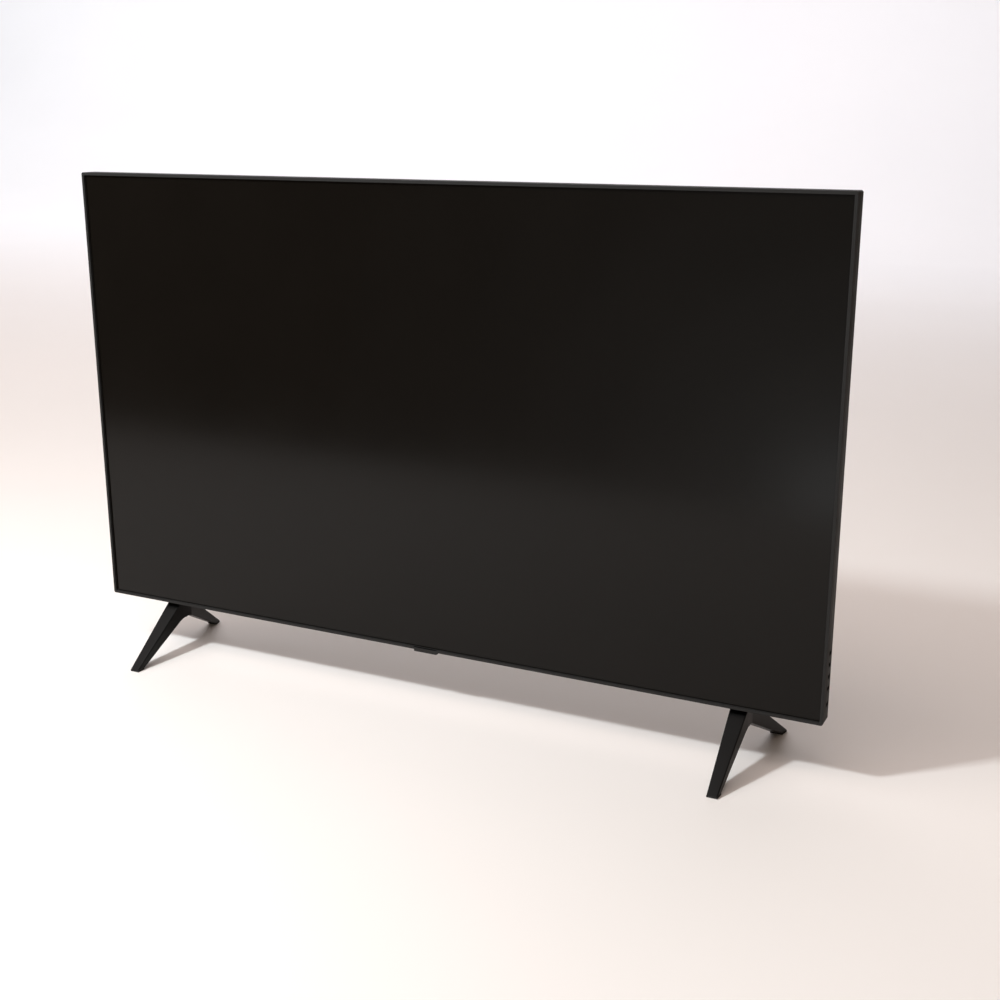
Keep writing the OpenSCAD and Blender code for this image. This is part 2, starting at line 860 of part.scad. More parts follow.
// Cut for one socket in a port wall
module socket_hole(z, size)
    block([port_x - cover_t - over, port_x + over], [board_d[1] - fit, board_d[1] + size[1] + fit],
        [z - size[0] / 2 - fit, z + size[0] / 2 + fit]);

module socket_holes() {
    for (z = hdmi_z)
        socket_hole(main_z + z, hdmi);
    for (z = usb_z)
        socket_hole(main_z + z, usb);
    socket_hole(main_z + network_z, network);
    socket_hole(main_z + optical_z, optical);
    socket_hole(main_z + aerial_z, aerial);
    mirror([1, 0, 0])
        socket_hole(inlet_z, inlet);
}

module key_holes()
    for (z = key_places)
        block([xi - over, body_w / 2 + over],
            [key_mid_d - key_len / 2 - key_gap, key_mid_d + key_len / 2 + key_gap],
            [z0 + z - key_h / 2 - key_gap, z0 + z + key_h / 2 + key_gap]);

module foot_holes()
    pair()
        translate([foot_at, 0, z0 + cover_t / 2])
            cube([tenon[0] + 2 * fit, tenon[1] + 2 * fit, cover_t + over], center = true);

module cover_screws()
    color(bright_metal)
        for (p = cover_screw_at)
            back_screw(p[0], p[1], plate_back + 1, rim_d - cover_sink, cover_head_r, cover_head_h);

module wall_mount_posts()
    color(steel)
        for (x = [-1, 1], z = post_z)
            difference() {
                rod_y(x * mount_pitch / 2, [plate_back, body_d], z, post_r);
                rod_y(x * mount_pitch / 2, [body_d - post_bore_len, body_d + over], z, post_bore_r);
            }

module drilled_board(x, z, d, holes)
    color(board_green)
        difference() {
            block(x, d, z);
            for (p = holes)
                rod_y(p[0], [d[0] - over, d[1] + over], p[1], board_hole_r);
        }

module main_board()
    drilled_board(board_x, board_z, board_d, board_holes);

module power_board()
    mirror([1, 0, 0])
        drilled_board(board_x, board_z, board_d, board_holes);

module timing_board()
    drilled_board([-timing_half, timing_half], timing_z, timing_d, timing_holes);

module wireless_module() {
    drilled_board(radio_x, radio_z, radio_d, radio_holes);
    color(steel)
        block([-radio_can[0] / 2, radio_can[0] / 2], [radio_d[1] - layer_gap, radio_d[1] + radio_can[2]],
            [radio_z[0] + radio_can_low, radio_z[0] + radio_can_low + radio_can[1]]);
}

// A box on a board's rear face: its middle across and up, and its width, height and depth
module chip(x, z, size)
    block([x - size[0] / 2, x + size[0] / 2], [board_d[1], board_d[1] + size[2]],
        [z - size[1] / 2, z + size[1] / 2]);

// A round can on a board's rear face: its middle across and up, and its radius and depth
module can(x, z, size)
    rod_y(x, [board_d[1], board_d[1] + size[1]], z, size[0]);

module main_board_parts()
    color(black_plastic) {
        for (x = memory_x)
            chip(board_x[0] + x, main_z + memory_z, memory_size);
        chip(board_x[0] + audio_at[0], main_z + audio_at[1], audio_size);
        chip(board_x[1] - tuner_at[0], main_z + tuner_at[1], tuner_size);
        power_plug(board_x[0]);
        chip((ribbon_x[0] + ribbon_x[1]) / 2, main_z + ribbon_plug_z,
            [ribbon_x[1] - ribbon_x[0] + ribbon_plug[0], ribbon_plug[1], ribbon_plug[2]]);
        for (x = concat(speaker_plug_x, [control_plug_x]))
            chip(x, main_z + plug_z, plug_size);
        for (i = [0 : 3])
            can(board_x[0] + small_can_at[0] + i * small_can_pitch, main_z + small_can_at[1], small_can);
    }

// Connector for the power harness at a board's near edge
module power_plug(edge)
    chip(edge + power_plug_x, main_z + power_plug_z, power_plug_size);

module main_heat_sink()
    color(bright_metal) {
        x = (board_x[0] + board_x[1]) / 2;
        z = main_z + sink_z;
        chip(x, z, sink_size);
        for (i = [0 : fin_count - 1])
            let (fin_x = x - sink_size[0] / 2 + i * (sink_size[0] - fin_t) / (fin_count - 1))
                block([fin_x, fin_x + fin_t],
                    [board_d[1] + sink_size[2] - layer_gap, board_d[1] + sink_size[2] + fin_h],
                    [z - sink_size[1] / 2, z + sink_size[1] / 2]);
    }

module power_board_parts()
    color(black_plastic)
        mirror([1, 0, 0]) {
            power_plug(board_x[0]);
            chip(backlight_plug_x, main_z + plug_z, plug_size);
            chip(board_x[0] + transformer_at[0], main_z + transformer_at[1], transformer_size);
            chip(board_x[0] + choke_at[0], main_z + choke_at[1], choke_size);
            chip(board_x[1] - filter_at[0], main_z + filter_at[1], filter_size);
            chip(board_x[0] + fin_plate_at[0], main_z + fin_plate_at[1], fin_plate_size);
            for (i = [0 : 2])
                can(board_x[0] + big_can_at[0] + i * big_can_pitch, main_z + big_can_at[1], big_can);
            for (i = [0 : 3])
                can(board_x[0] + mid_can_at[0] + i * mid_can_pitch, main_z + mid_can_at[1], mid_can);
        }

// Shell of a socket that opens towards +X, flush with the port wall
module socket(z, size, hollow, deep)
    difference() {
        socket_body(z, size);
        block([port_x - deep, port_x + over],
            [board_d[1] + (size[1] - hollow[1]) / 2, board_d[1] + (size[1] + hollow[1]) / 2],
            [z - hollow[0] / 2, z + hollow[0] / 2]);
    }

module socket_body(z, size)
    block([port_x - socket_len, port_x], [board_d[1], board_d[1] + size[1]],
        [z - size[0] / 2, z + size[0] / 2]);

module hdmi_sockets()
    color(bright_metal)
        for (z = hdmi_z)
            socket(main_z + z, hdmi, hdmi_in, hdmi_deep);

module usb_sockets()
    color(bright_metal)
        for (z = usb_z)
            socket(main_z + z, usb, usb_in, usb_deep);

module network_socket()
    color(bright_metal)
        socket(main_z + network_z, network, network_in, network_deep);

module optical_socket()
    color(black_plastic)
        socket(main_z + optical_z, optical, optical_in, optical_deep);

module aerial_socket()
    color(bright_metal)
        let (d = board_d[1] + aerial[1] / 2, z = main_z + aerial_z)
            difference() {
                union() {
                    socket_body(z, aerial);
                    rod_x([port_x - over, port_x + aerial_out], d, z, aerial_r);
                }
                rod_x([port_x - aerial_deep, port_x + aerial_out + over], d, z, aerial_bore_r);
            }

module mains_inlet()
    color(black_plastic)
        mirror([1, 0, 0])
            difference() {
                block([port_x - inlet_len, port_x], [board_d[1], board_d[1] + inlet[1]],
                    [inlet_z - inlet[0] / 2, inlet_z + inlet[0] / 2]);
                for (z = pin_z)
                    rod_x([port_x - inlet_deep, port_x + over], inlet_d, z, inlet_r);
                block([port_x - inlet_deep, port_x + over], [inlet_d - inlet_r, inlet_d + inlet_r], pin_z);
            }

module mains_pins()
    color(bright_metal)
        mirror([1, 0, 0])
            for (z = pin_z)
                rod_x([port_x - inlet_deep, port_x - inlet_deep + pin_len], inlet_d, z, pin_r);

// A screw through a board at d, that reaches depth into the stand-off under it
module board_screw(p, d, depth)
    back_screw(p[0], p[1], d[0] - depth, d[1], board_head_r, board_head_h);

module board_screws()
    color(bright_metal) {
        pair()
            for (p = board_holes)
                board_screw(p, board_d, board_screw_in);
        for (p = timing_holes)
            board_screw(p, timing_d, timing_screw_in);
        for (p = radio_holes)
            board_screw(p, radio_d, radio_screw_in);
    }

// Flat cable from the main board's lower edge down to the timing board
module video_ribbon() {
    top = board_d[1] + ribbon_plug[2];
    drop = main_z - ribbon_drop;
    low = timing_d[1] + layer_gap;
    color(white_sheet) {
        block(ribbon_x, [top, top + ribbon_t], [drop, main_z + ribbon_plug_z + ribbon_plug[1] / 2]);
        block(ribbon_x, [low, top + ribbon_t], [drop, drop + ribbon_t]);
        block(ribbon_x, [low, low + ribbon_t], [timing_z[1] - ribbon_lap, drop + ribbon_t]);
    }
}

module power_harness()
    color([0.75, 0.15, 0.12])
        for (i = [-2 : 2])
            rod_x([-board_x[0] - power_wire_in, board_x[0] + power_wire_in], board_d[1] + wire_rise,
                main_z + power_plug_z + i * power_wire_pitch, wire_r);

module backlight_harness()
    color([0.85, 0.80, 0.15])
        for (i = [-1, 1])
            let (x = -backlight_plug_x + i * 2.5)
                wire([[x, wire_y, wire_end_z], [x, wire_y, main_z - backlight_drop],
                    [x, at(plate_back + backlight_rise), main_z - backlight_drop],
                    [x, at(plate_back + backlight_rise), source_z[1] + backlight_low],
                    [x, at(plate_back), source_z[1] + backlight_low]]);

module speaker_wires()
    color([0.2, 0.2, 0.2]) {
        wire([[speaker_plug_x[1], wire_y, wire_end_z], [speaker_plug_x[1], wire_y, main_z - speaker_drop],
            [speaker_plug_x[1], at(speaker_mid_d), main_z - speaker_drop],
            [speaker_plug_x[1], at(speaker_mid_d), speaker_z[1]]]);
        wire([[speaker_plug_x[0], wire_y, wire_end_z], [speaker_plug_x[0], wire_y, main_z - cross_drop],
            [speaker_plug_x[0], at(speaker_mid_d), main_z - cross_drop],
            [-speaker_plug_x[1], at(speaker_mid_d), main_z - cross_drop],
            [-speaker_plug_x[1], at(speaker_mid_d), speaker_z[1]]]);
    }

// One lead from the key board and one from the sensor board, to the same plug on the main board
module control_wires() {
    lead_y = at(sensor_d - sensor_wall - wire_r - fit / 2);
    plug = [control_plug_x + lead_split, control_plug_x - lead_split];
    color([0.9, 0.9, 0.9]) {
        wire([[key_bracket_x, at(key_mid_d), z0 + key_lead_rise],
            [plug[0], at(key_mid_d), z0 + key_lead_rise],
            [plug[0], at(key_mid_d), main_z - key_lead_drop], [plug[0], wire_y, main_z - key_lead_drop],
            [plug[0], wire_y, wire_end_z]]);
        wire([[sensor_lead_x, lead_y, sensor_floor + sensor_board_t],
            [sensor_lead_x, lead_y, z0 + sensor_lead_rise], [sensor_lead_x, wire_y, z0 + sensor_lead_rise],
            [sensor_lead_x, wire_y, main_z - sensor_lead_drop], [plug[1], wire_y, main_z - sensor_lead_drop],
            [plug[1], wire_y, wire_end_z]]);
    }
}

module speaker_box()
    color(black_plastic)
        difference() {
            speaker_block(0);
            speaker_block(speaker_wall);
            rod_z(speaker_at, at(speaker_mid_d), [speaker_z[0] - over, driver_z + over], speaker_mouth_r);
        }

module speaker_block(wall)
    block([speaker_at - speaker_w / 2 + wall, speaker_at + speaker_w / 2 - wall],
        [speaker_d[0] + wall, speaker_d[1] - wall], [speaker_z[0] + wall, speaker_z[1] - wall]);

module right_speaker_box()
    speaker_box();

module left_speaker_box()
    mirror([1, 0, 0])
        speaker_box();

// Basket, magnet and pole of a driver that fires down, turned from one outline
module speaker_drivers()
    color(steel)
        pair()
            translate([speaker_at, at(speaker_mid_d), driver_z])
                rotate_extrude()
                    polygon([[cone_r + fit, 0], [driver_r, 0],
                        [driver_r, magnet_z[1]], [driver_r - 2 * basket_step, magnet_z[1]],
                        [driver_r - 2 * basket_step, magnet_z[3]], [0, magnet_z[3]],
                        [0, magnet_z[0]], [coil_r - coil_t - coil_gap, magnet_z[0]],
                        [coil_r - coil_t - coil_gap, magnet_z[2]], [coil_r + coil_gap, magnet_z[2]],
                        [coil_r + coil_gap, magnet_z[0]], [driver_r - basket_t, magnet_z[0]],
                        [driver_r - basket_t, driver_flange_t], [cone_r + fit, driver_flange_t]]);

module speaker_cone()
    color(black_plastic)
        translate([speaker_at, at(speaker_mid_d), driver_z])
            rotate_extrude()
                polygon([[0, cone_cap_z], [coil_r - 1, cone_cap_z + cone_t], [cone_r - coil_t, cone_rim_z],
                    [cone_r, cone_rim_z], [cone_r, cone_rim_z + cone_t], [coil_r, cone_cap_z + 2 * cone_t],
                    [coil_r, coil_top], [coil_r - coil_t, coil_top],
                    [coil_r - coil_t, cone_cap_z + 2 * cone_t], [0, cone_cap_z + cone_t]]);

module right_speaker_cone()
    speaker_cone();

module left_speaker_cone()
    mirror([1, 0, 0])
        speaker_cone();

module speaker_pads()
    color(rubber_black)
        pair()
            for (s = [-1, 1])
                let (x = speaker_at + s * (speaker_w / 2 - speaker_pad))
                    block([x - speaker_pad / 2, x + speaker_pad / 2],
                        [speaker_mid_d - speaker_pad / 2, speaker_mid_d + speaker_pad / 2],
                        [z0 + cover_t, speaker_z[0]]);

module sensor_housing()
    color(dark_plastic)
        difference() {
            union() {
                sensor_block([0, bezel_lip], [z0 - sensor_drop, z0 + sensor_face]);
                sensor_block([0, sensor_d], [z0 - sensor_drop, sensor_top]);
            }
            block([-sensor_w / 2 + sensor_wall, sensor_w / 2 - sensor_wall],
                [2 * sensor_wall, sensor_d - sensor_wall], [sensor_floor, z0 + sensor_face + over]);
        }

module sensor_block(d, z)
    block([-sensor_w / 2, sensor_w / 2], d, z);

module sensor_window()
    color(screen_black)
        sensor_block([0, bezel_lip], [z0 + sensor_face, z0 + bezel_face]);

module sensor_board()
    color(board_green) {
        block([-sensor_w / 2 + 2 * sensor_wall, sensor_w / 2 - 2 * sensor_wall],
            [2 * sensor_wall + fit, sensor_d - sensor_wall - fit],
            [sensor_floor, sensor_floor + sensor_board_t]);
        block([receiver_x, receiver_x + receiver[0]],
            [2 * sensor_wall + receiver_in, 2 * sensor_wall + receiver_in + receiver[1]],
            [sensor_floor + sensor_board_t - layer_gap, sensor_floor + sensor_board_t + receiver[2]]);
    }

// A key: cap in the side wall, flange behind the wall and stem into its switch
module key(z) {
    face_x = body_w / 2 - key_sink;
    flange_x = xi - key_rest_gap;
    color(black_plastic) {
        block([flange_x - key_flange_t, face_x], [key_mid_d - key_len / 2, key_mid_d + key_len / 2],
            [z0 + z - key_h / 2, z0 + z + key_h / 2]);
        block([flange_x - key_flange_t, flange_x],
            [key_mid_d - key_len / 2 - key_flange[0], key_mid_d + key_len / 2 + key_flange[0]],
            [z0 + z - key_h / 2 - key_flange[1], z0 + z + key_h / 2 + key_flange[1]]);
        rod_x([switch_x - stem_in, flange_x - key_flange_t / 2], key_mid_d, z0 + z, stem_r);
    }
}

module power_key()
    key(key_places[0]);

module channel_down_key()
    key(key_places[1]);

module channel_up_key()
    key(key_places[2]);

module volume_down_key()
    key(key_places[3]);

module volume_up_key()
    key(key_places[4]);

module key_switches()
    color(steel)
        for (z = key_places)
            difference() {
                block([switch_x - switch_h, switch_x],
                    [key_mid_d - switch_size / 2, key_mid_d + switch_size / 2],
                    [z0 + z - switch_size / 2, z0 + z + switch_size / 2]);
                rod_x([switch_x - stem_in - key_travel - fit, switch_x + over], key_mid_d, z0 + z, well_r);
            }

module key_board()
    color(board_green)
        block([key_board_x, key_board_x + key_board_t],
            [key_mid_d - key_board_half, key_mid_d + key_board_half], key_board_z);

// Angle that carries the key board on the inside of the flat back
module key_bracket()
    color(black_plastic) {
        block([key_bracket_x, key_board_x], [key_mid_d - key_board_half, cover_in], key_board_z);
        block([key_bracket_x - key_bracket_foot, key_board_x], [cover_in - key_bracket_t, cover_in],
            key_board_z);
    }

// Outline of the legs from the side: two straight outer faces over an arch that the legs' lower faces touch
module foot_side()
    difference() {
        polygon([[-crown_half, z0], [crown_half, z0], [foot_reach, pad_t], [-foot_reach, pad_t]]);
        translate(arch_c)
            circle(arch_r);
        polygon([[-arch_touch[0], arch_touch[1]], arch_touch, arch_p, [tip_in, -over], [-tip_in, -over],
            [-tip_in, pad_t]]);
    }

// Outline of the legs from above: straight to the front, splayed to the back
module foot_plan()
    translate([foot_at, 0])
        polygon([[-front_tip_w / 2, -foot_reach], [front_tip_w / 2, -foot_reach], [crown_w / 2, -knee_y],
            [crown_w / 2, knee_y], [splay + rear_tip_w / 2, foot_reach], [splay - rear_tip_w / 2, foot_reach],
            [-crown_w / 2, knee_y], [-crown_w / 2, -knee_y]]);

module foot()
    color(black_plastic)
        difference() {
            union() {
                intersection() {
                    along_x([foot_at - crown_w - splay, foot_at + crown_w + 2 * splay])
                        foot_side();
                    linear_extrude(z0)
                        foot_plan();
                }
                translate([foot_at - tenon[0] / 2, -tenon[1] / 2, z0 - over])
                    cube([tenon[0], tenon[1], over + cover_t - layer_gap]);
            }
            for (s = [-1, 1]) {
                rod_z(foot_at + s * screw_dx, 0, [0, z0 + cover_t + over], foot_hole_r);
                rod_z(foot_at + s * screw_dx, 0, [0, foot_seat_z], foot_sink_r);
            }
        }

module right_foot()
    foot();

module left_foot()
    mirror([1, 0, 0])
        foot();

module foot_pads()
    color(rubber_black)
        pair()
            for (s = [-1, 1])
                let (y = s * (foot_reach - tip_len / 2) - tip_len / 2 + pad_inset)
                    intersection() {
                        linear_extrude(pad_t)
                            foot_plan();
                        translate([foot_at - crown_w, y, -over])
                            cube([2 * crown_w + 2 * splay, tip_len - 2 * pad_inset, pad_t + 2 * over]);
                    }

module foot_brackets()
    color(steel)
        pair()
            difference() {
                union() {
                    block([foot_at - bracket_half, foot_at + bracket_half], [plate_back, bracket_d],
                        [z0 + cover_t, z0 + cover_t + bracket_base_t]);
                    block([foot_at - bracket_half, foot_at + bracket_half],
                        [plate_back, plate_back + bracket_t], [z0 + cover_t, z0 + cover_t + bracket_rise]);
                    for (x = [foot_at - bracket_half, foot_at + bracket_half - bracket_t])
                        along_x([x, x + bracket_t])
                            polygon([[at(plate_back), z0 + cover_t], [at(bracket_d), z0 + cover_t],
                                [at(bracket_d), z0 + cover_t + bracket_base_t],
                                [at(plate_back + bracket_t), z0 + cover_t + bracket_rise],
                                [at(plate_back), z0 + cover_t + bracket_rise]]);
                }
                for (s = [-1, 1])
                    rod_z(foot_at + s * screw_dx, 0, [z0, z0 + cover_t + bracket_base_t + over],
                        foot_shank_r + layer_gap);
            }

module foot_screws()
    color(bright_metal)
        pair()
            for (s = [-1, 1])
                difference() {
                    union() {
                        rod_z(foot_at + s * screw_dx, 0, [foot_seat_z - foot_head_h, foot_seat_z],
                            foot_head_r);
                        rod_z(foot_at + s * screw_dx, 0, [foot_seat_z - over, foot_screw_top], foot_shank_r);
                    }
                    for (c = [[recess_width, recess_reach], [recess_reach, recess_width]])
                        translate([foot_at + s * screw_dx, 0, foot_seat_z - foot_head_h])
                            cube([2 * foot_head_r * c[0], 2 * foot_head_r * c[1],
                                2 * foot_head_h * (1 - recess_floor)], center = true);
                }

front_bezel();
panel_gasket();
lcd_panel();
mid_frame();
prism_sheet();
diffuser_sheet();
light_guide();
reflector_sheet();
led_heat_bar();
led_strip();
backlight_leds();
backplate();
driver_films();
source_boards();
rear_cover();
cover_screws();
wall_mount_posts();
main_board();
main_board_parts();
main_heat_sink();
hdmi_sockets();
usb_sockets();
network_socket();
optical_socket();
aerial_socket();
power_board();
power_board_parts();
mains_inlet();
mains_pins();
timing_board();
wireless_module();
board_screws();
video_ribbon();
power_harness();
backlight_harness();
speaker_wires();
control_wires();
left_speaker_box();
right_speaker_box();
speaker_drivers();
left_speaker_cone();
right_speaker_cone();
speaker_pads();
sensor_housing();
sensor_window();
sensor_board();
power_key();
channel_down_key();
channel_up_key();
volume_down_key();
volume_up_key();
key_switches();
key_board();
key_bracket();
left_foot();
right_foot();
foot_pads();
foot_brackets();
foot_screws();
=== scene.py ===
"""Looks and studio for a slim flat screen television on two splayed feet."""

import json
import math

import bpy
from bpy.props import FloatProperty, FloatVectorProperty, PointerProperty
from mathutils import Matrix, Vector

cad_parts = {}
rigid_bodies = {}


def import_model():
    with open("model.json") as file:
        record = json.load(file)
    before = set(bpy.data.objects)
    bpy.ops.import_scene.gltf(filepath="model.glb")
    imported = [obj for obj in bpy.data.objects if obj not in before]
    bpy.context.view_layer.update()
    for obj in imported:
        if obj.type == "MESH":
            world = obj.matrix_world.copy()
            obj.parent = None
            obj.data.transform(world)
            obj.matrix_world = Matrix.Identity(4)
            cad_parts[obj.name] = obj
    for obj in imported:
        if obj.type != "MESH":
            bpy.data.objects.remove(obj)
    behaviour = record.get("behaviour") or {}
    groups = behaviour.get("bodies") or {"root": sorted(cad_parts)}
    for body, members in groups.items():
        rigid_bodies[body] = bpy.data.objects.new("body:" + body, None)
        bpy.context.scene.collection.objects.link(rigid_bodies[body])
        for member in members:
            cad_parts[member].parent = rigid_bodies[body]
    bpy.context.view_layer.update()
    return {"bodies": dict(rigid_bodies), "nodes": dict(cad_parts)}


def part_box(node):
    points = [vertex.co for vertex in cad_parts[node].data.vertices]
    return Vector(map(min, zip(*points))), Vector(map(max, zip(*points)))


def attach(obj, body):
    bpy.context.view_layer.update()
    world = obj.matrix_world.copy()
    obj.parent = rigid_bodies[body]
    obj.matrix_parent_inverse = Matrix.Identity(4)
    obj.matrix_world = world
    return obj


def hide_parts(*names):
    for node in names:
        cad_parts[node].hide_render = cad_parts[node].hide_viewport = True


bl_info = {
    "name": "Flat screen television",
    "version": (1, 0, 0),
    "blender": (4, 5, 0),
    "location": "View3D > Sidebar > Television",
    "description": "Finishes a slim television on two splayed feet and sets it in a studio",
    "category": "Object",
}

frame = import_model()
SET = "set_body"
KEYS = ("power_key", "channel_down_key", "channel_up_key", "volume_down_key", "volume_up_key")

# Edges that turn by more than SHARP_ANGLE are rounded, and faces that meet under SMOOTH_ANGLE shade as one
SHARP_ANGLE = math.radians(30.0)
SMOOTH_ANGLE = math.radians(35.0)
# Faces that meet under FLAT_ANGLE become one, and so do points within MERGE_DISTANCE
FLAT_ANGLE = math.radians(0.8)
MERGE_DISTANCE = 1e-6
# Housing edges longer than this many metres get the large rounding
LONG_EDGE = 0.036
# The sensor's thin pane has the bezel's rounding divided by this
PANE_EDGE_DIVISOR = 3.0
# A wall of the bezel's lip has a normal with less than this along Y
LIP_WALL_LIMIT = 0.5

# Near black of the smoked sensor window, and of the painted shade on the walls of the bezel's lip
DEEP_BLACK = (0.0012, 0.0012, 0.0012)
EVEN_GRAIN = (1.0, 1.0, 1.0)

# Sockets of a colour Mix node, by their number
MIX_FACTOR = 0
MIX_FIRST = 6
MIX_SECOND = 7
MIX_COLOUR = 2

# The paper's ends, from the middle of the set, its height and its sweep, in metres
FLOOR_LEFT_X = -14.0
FLOOR_RIGHT_X = 1.5
FLOOR_FRONT_Y = -1.05
BACKDROP_Y = 8.0
BACKDROP_HEIGHT = 6.0
SWEEP_WIDTH = 2.5
SWEEP_SEGMENTS = 24

KEY_LAMP_PLACE = (-0.78, -1.18, 1.68)
KEY_LAMP_AIM = (0.0, 0.0, 0.30)
KEY_LAMP_LIGHT = (0.90, 0.97, 1.0)
# Wide lamps: name, place, aim, property that holds the power, width and height, colour
WIDE_LAMPS = (
    ("front_lamp", (-0.8, -2.2, 4.0), (-0.6, 0.0, 0.0), "front_power", (6.0, 2.0), (1.0, 0.87, 0.81)),
    ("side_lamp", (-3.6, 1.5, 4.6), (-3.6, 1.5, 0.0), "side_power", (5.0, 6.0), (1.0, 0.97, 0.99)),
    ("sweep_lamp", (-2.8, 5.4, 4.6), (-2.8, 5.4, 0.0), "sweep_power", (10.0, 2.5), (1.0, 0.92, 0.92)),
    ("backdrop_lamp", (-4.5, 5.0, 4.2), (-4.5, 8.0, 1.0), "wall_power", (14.0, 3.0), (0.68, 0.82, 1.0)),
    ("left_backdrop_lamp", (-8.5, 5.0, 3.5), (-8.5, 8.0, 1.5), "wall_left_power", (5.0, 3.0),
     (0.92, 0.98, 1.0)),
)
# Round soft lamp: radius and brightness of each disc, the one farthest from the set first
GLOW_DISCS = (
    (1.30, 0.070),
    (0.98, 0.080),
    (0.74, 0.130),
    (0.52, 0.150),
    (0.34, 0.190),
    (0.21, 0.400),
    (0.12, 1.00),
)
GLOW_PLACE = (0.17, -1.6, -0.12)
GLOW_STEP = 0.01
GLOW_LIGHT = (0.95, 0.98, 1.0)

CAMERA_PLACE = (0.7772, -1.3891, 0.6990)
CAMERA_TILT = math.radians(74.38)
CAMERA_TURN = math.radians(26.30)
SENSOR_WIDTH = 36.0


def paint(name, description, default):
    """Property for a colour"""
    return FloatVectorProperty(name=name, description=description, default=default, size=3, min=0.0, max=1.0,
                               subtype="COLOR")


def length(name, description, default):
    """Property for a length"""
    return FloatProperty(name=name, description=description, default=default, min=0.0, precision=5,
                         subtype="DISTANCE", unit="LENGTH")


def watts(name, description, default):
    """Property for a lamp's power"""
    return FloatProperty(name=name, description=description, default=default, min=0.0, unit="POWER")


def share(name, description, default):
    """Property from 0 to 1"""
    return FloatProperty(name=name, description=description, default=default, min=0.0, max=1.0,
                         subtype="FACTOR")


class TelevisionFinish(bpy.types.PropertyGroup):
    """Colours, sheen and edge sizes of the television"""

    frame_colour: paint("Frame", "Charcoal of the bezel and the sensor housing", (0.0175, 0.017, 0.0165))
    frame_roughness: share("Frame roughness", "Satin of the bezel", 0.68)
    frame_edge: length("Frame edge", "Rounding of the bezel's edges", 0.0004)
    cover_colour: paint("Cover", "Charcoal of the rear cover", (0.0135, 0.0130, 0.0120))
    cover_roughness: share("Cover roughness", "Satin of the rear cover", 0.52)
    cover_edge: length("Cover edge", "Rounding of the rear cover's small edges", 0.0004)
    housing_edge: length("Housing edge", "Rounding of the lower housing's long edges", 0.0015)
    foot_colour: paint("Foot", "Black of the feet", (0.0019, 0.0018, 0.0017))
    foot_roughness: share("Foot roughness", "Satin of the feet", 0.36)
    foot_edge: length("Foot edge", "Rounding of the feet's edges", 0.0012)
    screen_colour: paint("Screen", "Body colour of the switched off screen", (0.0046, 0.0037, 0.0029))
    screen_roughness: share("Screen roughness", "Softness of the screen's anti-glare film", 0.15)
    screen_reflection: share("Screen reflection", "Strength of the screen's mirror image", 0.165)
    key_colour: paint("Key", "Black of the side keys", (0.0025, 0.0025, 0.0025))
    key_edge: length("Key edge", "Rounding of the keys' edges", 0.0003)


class TelevisionStudio(bpy.types.PropertyGroup):
    """Floor, light and camera"""

    floor_colour: paint("Floor", "Pale paper of the floor and backdrop", (0.90, 0.862, 0.834))
    world_colour: paint("Surround", "Light of the room", (0.142, 0.108, 0.082))
    key_power: watts("Key lamp", "Small lamp at the front left that casts the shadow", 33.0)
    key_size: length("Key lamp size", "Side of the square key lamp", 0.17)
    front_power: watts("Front lamp", "Wide lamp over the floor in front", 106.0)
    side_power: watts("Side lamp", "Wide lamp over the floor on the left", 124.0)
    sweep_power: watts("Sweep lamp", "Long lamp over the far floor", 102.0)
    wall_power: watts("Backdrop lamp", "Long lamp on the backdrop", 212.0)
    wall_left_power: watts("Left backdrop lamp", "Lamp on the backdrop's left end", 42.0)
    glow: FloatProperty(name="Glow", description="Brightness of the round soft lamp that the screen mirrors",
                        default=1.0, min=0.0)
    lens: FloatProperty(name="Lens", description="Focal length of the camera", default=50.0, min=1.0,
                        unit="CAMERA")


def times(colour, factor):
    """The colour, brighter or darker, and never past white"""
    return tuple(min(1.0, part * factor) for part in colour)


